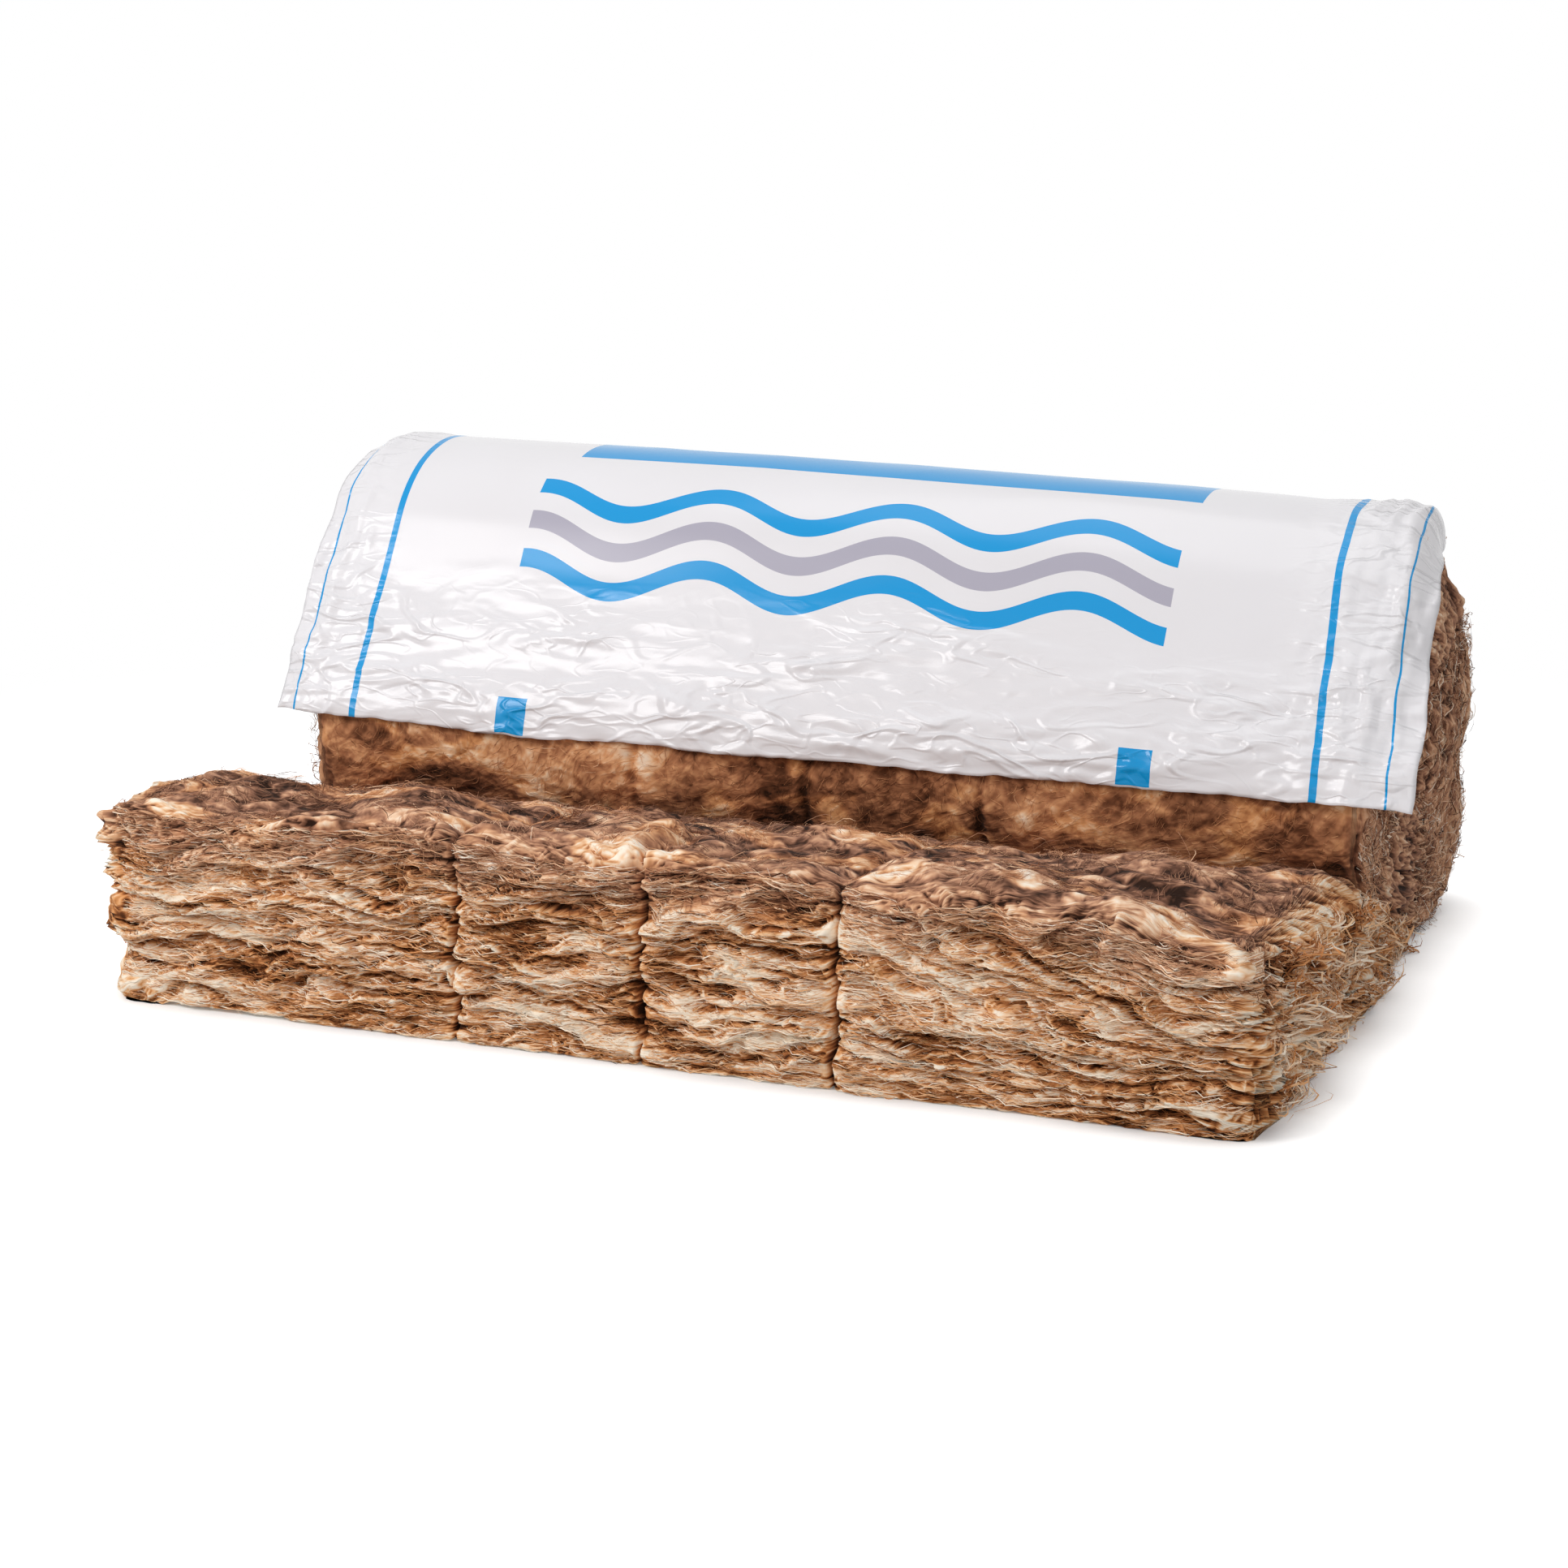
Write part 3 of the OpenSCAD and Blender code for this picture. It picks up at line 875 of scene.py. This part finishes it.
# One step of arithmetic on sockets and plain numbers
def mathNode(nodes, links, kind, first, second=None, third=None):
    node = nodes.new("ShaderNodeMath")
    node.operation = kind
    for socket, value in zip(node.inputs, (first, second, third)):
        if value is None:
            continue
        if isinstance(value, (int, float)):
            socket.default_value = value
        else:
            links.new(value, socket)
    return node.outputs[0]


woolTones = [
    (0.00, (0.028, 0.009, 0.003)),
    (0.20, (0.160, 0.052, 0.018)),
    (0.40, (0.435, 0.168, 0.064)),
    (0.58, (0.720, 0.338, 0.138)),
    (0.76, (0.910, 0.592, 0.350)),
    (1.00, (0.990, 0.870, 0.715)),
]


# Share of fine hairs in the tone, and their depth in metres
woolFinishes = {
    "glass wool": (1.25, 0.0035),
    "glass wool fibres": (0.25, 0.0003),
    "felted glass wool": (0.65, 0.0020),
}


# Wool's colour from its tone, broken up by fine hairs that run along the layers
def woolHairsGroup():
    group = bpy.data.node_groups.new("wool hairs", "ShaderNodeTree")
    group.interface.new_socket("Laid", in_out="INPUT", socket_type="NodeSocketVector")
    for name in ("Tone", "Grey", "Hair Share"):
        group.interface.new_socket(name, in_out="INPUT", socket_type="NodeSocketFloat")
    group.interface.new_socket("Colour", in_out="OUTPUT", socket_type="NodeSocketColor")
    group.interface.new_socket("Height", in_out="OUTPUT", socket_type="NodeSocketFloat")
    nodes, links = group.nodes, group.links
    given = nodes.new("NodeGroupInput").outputs
    result = nodes.new("NodeGroupOutput").inputs

    def hairNoise(scale, detail):
        stretch = nodes.new("ShaderNodeMapping")
        stretch.inputs["Scale"].default_value = scale
        links.new(given["Laid"], stretch.inputs["Vector"])
        noise = nodes.new("ShaderNodeTexNoise")
        noise.inputs["Scale"].default_value = 1.0
        noise.inputs["Detail"].default_value = detail
        noise.inputs["Roughness"].default_value = 0.6
        noise.inputs["Distortion"].default_value = 0.6
        links.new(stretch.outputs["Vector"], noise.inputs["Vector"])
        return mathNode(nodes, links, "SUBTRACT", noise.outputs["Fac"], 0.5)

    hairs = mathNode(nodes, links, "ADD", hairNoise((45, 45, 400), 2.0), hairNoise((20, 20, 170), 3.0))
    spread = mathNode(nodes, links, "MULTIPLY", hairs, given["Hair Share"])
    ramp = nodes.new("ShaderNodeValToRGB")
    while len(ramp.color_ramp.elements) < len(woolTones):
        ramp.color_ramp.elements.new(0.5)
    for element, (position, colour) in zip(ramp.color_ramp.elements, woolTones):
        element.position = position
        element.color = (*colour, 1)
    links.new(mathNode(nodes, links, "ADD", given["Tone"], spread), ramp.inputs["Fac"])
    dull = nodes.new("ShaderNodeHueSaturation")
    links.new(ramp.outputs["Color"], dull.inputs["Color"])
    links.new(mathNode(nodes, links, "MULTIPLY_ADD", given["Grey"], -0.30, 1.0), dull.inputs["Saturation"])
    links.new(dull.outputs["Color"], result["Colour"])
    links.new(hairs, result["Height"])
    return group


def woolMaterial(name, group, hairShare, hairDepth):
    material, nodes, links, shader = newMaterial(name)
    hairs = nodes.new("ShaderNodeGroup")
    hairs.node_tree = group
    hairs.inputs["Hair Share"].default_value = hairShare
    for key, output, socket in (("laid", "Vector", "Laid"), ("tone", "Fac", "Tone"), ("grey", "Fac", "Grey")):
        given = nodes.new("ShaderNodeAttribute")
        given.attribute_name = key
        links.new(given.outputs[output], hairs.inputs[socket])
    links.new(hairs.outputs["Colour"], shader.inputs["Base Color"])
    bump = nodes.new("ShaderNodeBump")
    bump.inputs["Strength"].default_value = 0.8
    bump.inputs["Distance"].default_value = hairDepth
    links.new(hairs.outputs["Height"], bump.inputs["Height"])
    links.new(bump.outputs["Normal"], shader.inputs["Normal"])
    shader.inputs["Roughness"].default_value = 0.85
    shader.inputs["Specular IOR Level"].default_value = 0.06
    shader.inputs["Sheen Weight"].default_value = 0.03
    shader.inputs["Sheen Roughness"].default_value = 0.5
    return material


# Mask of a printed bar: 1 inside the box given in metres of flat film
def printedBarGroup():
    group = bpy.data.node_groups.new("printed bar", "ShaderNodeTree")
    for name in ("Across", "Up", "Left", "Right", "Low", "High"):
        group.interface.new_socket(name, in_out="INPUT", socket_type="NodeSocketFloat")
    group.interface.new_socket("Mask", in_out="OUTPUT", socket_type="NodeSocketFloat")
    nodes, links = group.nodes, group.links
    given = nodes.new("NodeGroupInput").outputs
    result = nodes.new("NodeGroupOutput").inputs
    tests = [
        mathNode(nodes, links, "GREATER_THAN", given["Across"], given["Left"]),
        mathNode(nodes, links, "LESS_THAN", given["Across"], given["Right"]),
        mathNode(nodes, links, "GREATER_THAN", given["Up"], given["Low"]),
        mathNode(nodes, links, "LESS_THAN", given["Up"], given["High"]),
    ]
    mask = tests[0]
    for test in tests[1:]:
        mask = mathNode(nodes, links, "MULTIPLY", mask, test)
    links.new(mask, result["Mask"])
    return group


filmPrint = {
    "blue": (0.0, 0.305, 0.68),
    "grey": (0.42, 0.40, 0.48),
    "boldLine": (0.090, 0.0075),     # from the film's edge, and its width
    "fineLine": (0.020, 0.0024),
    "rightInset": 0.006,             # the right lines lie further in, and lean in as they rise
    "rightLean": 0.035,
    "markSize": (0.034, 0.036),
    "markLow": 0.002,
    "marks": (0.263, 0.940),         # left sides of the two square marks
    "band": (0.272, 0.968, 0.338, 0.430),
    "waves": (0.250, 0.965),         # ends of the printed waves
    "waveLevels": (0.178, 0.222, 0.266),
    "waveLength": 0.205,
    "waveHeight": 0.016,
    "waveWidth": 0.021,
    "paper": ((0.775, 0.755, 0.775), (0.805, 0.790, 0.815)),     # the white varies between these
    "roughness": (0.16, 0.28),
    "creaseHeight": 0.0026,
}


def filmMaterial():
    material, nodes, links, shader = newMaterial("printed film")
    group = printedBarGroup()
    flat = nodes.new("ShaderNodeUVMap")
    parts = nodes.new("ShaderNodeSeparateXYZ")
    links.new(flat.outputs["UV"], parts.inputs["Vector"])
    across, up = parts.outputs["X"], parts.outputs["Y"]
    total = filmHigh.x - filmLow.x

    def bar(left, right, low, high, along=across):
        node = nodes.new("ShaderNodeGroup")
        node.node_tree = group
        links.new(along, node.inputs["Across"])
        links.new(up, node.inputs["Up"])
        for name, value in zip(("Left", "Right", "Low", "High"), (left, right, low, high)):
            node.inputs[name].default_value = value
        return node.outputs["Mask"]

    # One wavy stripe, level height at its middle
    def wave(level):
        turn = mathNode(nodes, links, "MULTIPLY", across, 2 * math.pi / filmPrint["waveLength"])
        swing = mathNode(nodes, links, "SINE", turn)
        rise = mathNode(nodes, links, "MULTIPLY", swing, filmPrint["waveHeight"])
        above = mathNode(nodes, links, "SUBTRACT", up, level)
        off = mathNode(nodes, links, "ABSOLUTE", mathNode(nodes, links, "SUBTRACT", above, rise))
        near = mathNode(nodes, links, "LESS_THAN", off, filmPrint["waveWidth"] / 2)
        return mathNode(nodes, links, "MULTIPLY", near, bar(*filmPrint["waves"], 0.0, 0.4))

    blueMasks = []
    leaning = mathNode(nodes, links, "MULTIPLY_ADD", up, filmPrint["rightLean"], across)
    for inset, thick in (filmPrint["boldLine"], filmPrint["fineLine"]):
        for middle, along in ((inset, across), (total - inset - filmPrint["rightInset"], leaning)):
            blueMasks.append(bar(middle - thick / 2, middle + thick / 2, -1, 2, along))
    markWide, markHigh = filmPrint["markSize"]
    low = filmPrint["markLow"]
    for left in filmPrint["marks"]:
        blueMasks.append(bar(left, left + markWide, low, low + markHigh))
    blueMasks.append(bar(*filmPrint["band"]))
    lowWave, middleWave, highWave = [wave(level) for level in filmPrint["waveLevels"]]
    blue = lowWave
    for mask in blueMasks + [highWave]:
        blue = mathNode(nodes, links, "MAXIMUM", blue, mask)

    def overprint(under, mask, colour):
        mix = nodes.new("ShaderNodeMix")
        mix.data_type = "RGBA"
        links.new(mask, mix.inputs["Factor"])
        links.new(under, mix.inputs["A"])
        mix.inputs["B"].default_value = (*colour, 1)
        return mix.outputs["Result"]

    # The film is a little uneven: faint mottle in its white and its gloss
    spot = nodes.new("ShaderNodeTexCoord")
    mottle = nodes.new("ShaderNodeTexNoise")
    mottle.inputs["Scale"].default_value = 9.0
    mottle.inputs["Detail"].default_value = 4.0
    links.new(spot.outputs["Object"], mottle.inputs["Vector"])
    paper = nodes.new("ShaderNodeMix")
    paper.data_type = "RGBA"
    links.new(mottle.outputs["Fac"], paper.inputs["Factor"])
    for socket, white in zip(("A", "B"), filmPrint["paper"]):
        paper.inputs[socket].default_value = (*white, 1)
    colour = overprint(paper.outputs["Result"], blue, filmPrint["blue"])
    colour = overprint(colour, middleWave, filmPrint["grey"])
    links.new(colour, shader.inputs["Base Color"])
    gloss = nodes.new("ShaderNodeMapRange")
    gloss.inputs["To Min"].default_value, gloss.inputs["To Max"].default_value = filmPrint["roughness"]
    links.new(mottle.outputs["Fac"], gloss.inputs["Value"])
    links.new(gloss.outputs["Result"], shader.inputs["Roughness"])

    # Sharp creases where a stretched noise passes its middle, only where the film is crumpled
    def creases(scale, width, seed):
        stretch = nodes.new("ShaderNodeMapping")
        stretch.inputs["Scale"].default_value = scale
        stretch.inputs["Location"].default_value = (seed, 2 * seed, 0)
        links.new(flat.outputs["UV"], stretch.inputs["Vector"])
        noise = nodes.new("ShaderNodeTexNoise")
        noise.inputs["Scale"].default_value = 1.0
        noise.inputs["Detail"].default_value = 1.0
        noise.inputs["Distortion"].default_value = 0.5
        links.new(stretch.outputs["Vector"], noise.inputs["Vector"])
        centred = mathNode(nodes, links, "SUBTRACT", noise.outputs["Fac"], 0.5)
        off = mathNode(nodes, links, "ABSOLUTE", centred)
        ridge = nodes.new("ShaderNodeMapRange")
        ridge.interpolation_type = "SMOOTHSTEP"
        ridge.inputs["From Max"].default_value = width
        ridge.inputs["To Min"].default_value = 1.0
        ridge.inputs["To Max"].default_value = 0.0
        links.new(off, ridge.inputs["Value"])
        return ridge.outputs["Result"]

    crumple = nodes.new("ShaderNodeAttribute")
    crumple.attribute_name = "crumple"
    finer = mathNode(nodes, links, "MULTIPLY", creases((19, 44, 1), 0.06, 5.3), 0.32)
    lines = mathNode(nodes, links, "ADD", creases((5, 15, 1), 0.10, 3.7), creases((11, 27, 1), 0.08, 8.1))
    lines = mathNode(nodes, links, "ADD", lines, finer)
    height = mathNode(nodes, links, "MULTIPLY", lines, crumple.outputs["Fac"])
    bump = nodes.new("ShaderNodeBump")
    bump.inputs["Strength"].default_value = 0.6
    bump.inputs["Distance"].default_value = filmPrint["creaseHeight"]
    links.new(height, bump.inputs["Height"])
    links.new(bump.outputs["Normal"], shader.inputs["Normal"])
    shader.inputs["Specular IOR Level"].default_value = 0.36
    return material


def assemble():
    group = woolHairsGroup()
    wool, hair, felt = [woolMaterial(name, group, *finish) for name, finish in woolFinishes.items()]
    pieces = [makeTail(), makeCoil()]
    for piece, material in zip(pieces, (wool, felt)):
        piece.data.materials.append(material)
        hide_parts("wool_quilt")
    fibres = [
        makeFrontFibres(),
        makeTopFibres(),
        makeEndFibres("right_end_fibres", 1, 103, *fibreCounts["rightEnd"]),
        makeEndFibres("left_end_fibres", -1, 104, *fibreCounts["leftEnd"]),
    ]
    for piece in fibres:
        piece.data.materials.append(hair)
        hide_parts("wool_quilt")
    for piece in pieces + fibres:
        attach(piece, "root")
    sheet, filmLength = makeFilm()
    sheet.data.materials.append(filmMaterial())
    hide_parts("wrap_film")
    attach(sheet, "root")
    print("pieces ready")


studio = {
    "eye": (1.1197, -2.8731, 0.8443),
    "turn": 22.333,          # degrees
    "tilt": 12.391,
    "lens": 69.56,           # mm on the sensor's width
    "sensor": 36,
    "world": 0.42,
    "floorSize": 30,
    "floorWhite": 0.80,
    "floorGlow": 0.72,
    "shadowReach": (1.1, 1.9),
    # The next three entries set the painted contact shadow: ambient occlusion darkens the floor's glow under
    # the wool
    "paintedShadowReach": 0.06,
    "paintedShadowLeast": 0.10,    # what is left of the glow right under the wool
    "paintedShadowPower": 1.5,
    # Place, aim, size and power
    "lights": {
        "key": ((-1.9, -2.6, 2.4), (0.0, 0.0, 0.2), 1.4, 62),
        "front fill": ((1.6, -3.2, 1.6), (0.1, 0.0, 0.2), 1.6, 19),
        "overhead": ((0.1, 0.3, 3.0), (0.0, 0.0, 0.3), 2.2, 20),
    },
}


def makeCamera(scene):
    lens = bpy.data.cameras.new("camera")
    lens.sensor_width = studio["sensor"]
    lens.lens = studio["lens"]
    camera = bpy.data.objects.new("camera", lens)
    camera.location = studio["eye"]
    camera.rotation_euler = (math.radians(90 - studio["tilt"]), 0, math.radians(studio["turn"]))
    scene.collection.objects.link(camera)
    scene.camera = camera


# White for the camera and in reflections, but plain light for everything else
def seenDirectly(nodes, links):
    path = nodes.new("ShaderNodeLightPath")
    seen = mathNode(nodes, links, "MAXIMUM", path.outputs["Is Camera Ray"], path.outputs["Is Glossy Ray"])
    return mathNode(nodes, links, "MAXIMUM", seen, path.outputs["Is Transmission Ray"])


def makeWorld(scene):
    world = bpy.data.worlds.new("studio")
    scene.world = world
    world.use_nodes = True
    nodes, links = world.node_tree.nodes, world.node_tree.links
    strength = nodes.new("ShaderNodeMapRange")
    strength.inputs["To Min"].default_value = studio["world"]
    strength.inputs["To Max"].default_value = 1.0
    links.new(seenDirectly(nodes, links), strength.inputs["Value"])
    sky = nodes["Background"]
    sky.inputs["Color"].default_value = (1, 1, 1, 1)
    links.new(strength.outputs["Result"], sky.inputs["Strength"])


# White paper that takes the shadow near the roll and glows white further off; under the wool its glow is
# darkened by a painted contact shadow
def floorMaterial():
    material, nodes, links, shader = newMaterial("floor paper")
    shader.inputs["Roughness"].default_value = 0.9
    shader.inputs["Specular IOR Level"].default_value = 0.0
    shader.inputs["Emission Color"].default_value = (1, 1, 1, 1)
    spot = nodes.new("ShaderNodeTexCoord")
    away = nodes.new("ShaderNodeVectorMath")
    away.operation = "LENGTH"
    links.new(spot.outputs["Object"], away.inputs[0])
    far = nodes.new("ShaderNodeMapRange")
    far.interpolation_type = "SMOOTHSTEP"
    far.inputs["From Min"].default_value, far.inputs["From Max"].default_value = studio["shadowReach"]
    links.new(away.outputs["Value"], far.inputs["Value"])
    seen = seenDirectly(nodes, links)
    paper = nodes.new("ShaderNodeMix")
    paper.data_type = "RGBA"
    links.new(mathNode(nodes, links, "MULTIPLY", far.outputs["Result"], seen), paper.inputs["Factor"])
    paper.inputs["A"].default_value = (*[studio["floorWhite"]] * 3, 1)
    paper.inputs["B"].default_value = (0, 0, 0, 1)
    links.new(paper.outputs["Result"], shader.inputs["Base Color"])
    glow = studio["floorGlow"]
    whiten = mathNode(nodes, links, "MULTIPLY_ADD", far.outputs["Result"], 1 - glow, glow)
    # Painted contact shadow: ambient occlusion darkens the glow under and beside the wool
    contact = nodes.new("ShaderNodeAmbientOcclusion")
    contact.inputs["Distance"].default_value = studio["paintedShadowReach"]
    unshaded = mathNode(nodes, links, "POWER", contact.outputs["AO"], studio["paintedShadowPower"])
    least = studio["paintedShadowLeast"]
    paintedContactShadow = mathNode(nodes, links, "MULTIPLY_ADD", unshaded, 1 - least, least)
    shine = mathNode(nodes, links, "MULTIPLY", whiten, paintedContactShadow)
    links.new(mathNode(nodes, links, "MULTIPLY", shine, seen), shader.inputs["Emission Strength"])
    return material


def makeFloor(scene):
    bm = bmesh.new()
    bmesh.ops.create_grid(bm, x_segments=1, y_segments=1, size=studio["floorSize"])
    ground = bpy.data.meshes.new("floor")
    bm.to_mesh(ground)
    bm.free()
    ground.materials.append(floorMaterial())
    floor = bpy.data.objects.new("floor", ground)
    scene.collection.objects.link(floor)


def addLight(scene, name, place, aim, size, power):
    lamp = bpy.data.lights.new(name, "AREA")
    lamp.size = size
    lamp.energy = power
    light = bpy.data.objects.new(name, lamp)
    light.location = place
    away = np.array(aim) - np.array(place)
    flatRun = math.hypot(away[0], away[1])
    light.rotation_euler = (math.atan2(flatRun, -away[2]), 0, math.atan2(away[1], away[0]) - math.pi / 2)
    scene.collection.objects.link(light)


def makeStudio():
    scene = bpy.context.scene
    scene.view_settings.view_transform = "Standard"
    makeCamera(scene)
    makeWorld(scene)
    makeFloor(scene)
    for name, lamp in studio["lights"].items():
        addLight(scene, name, *lamp)
    print("studio ready")


assemble()
makeStudio()
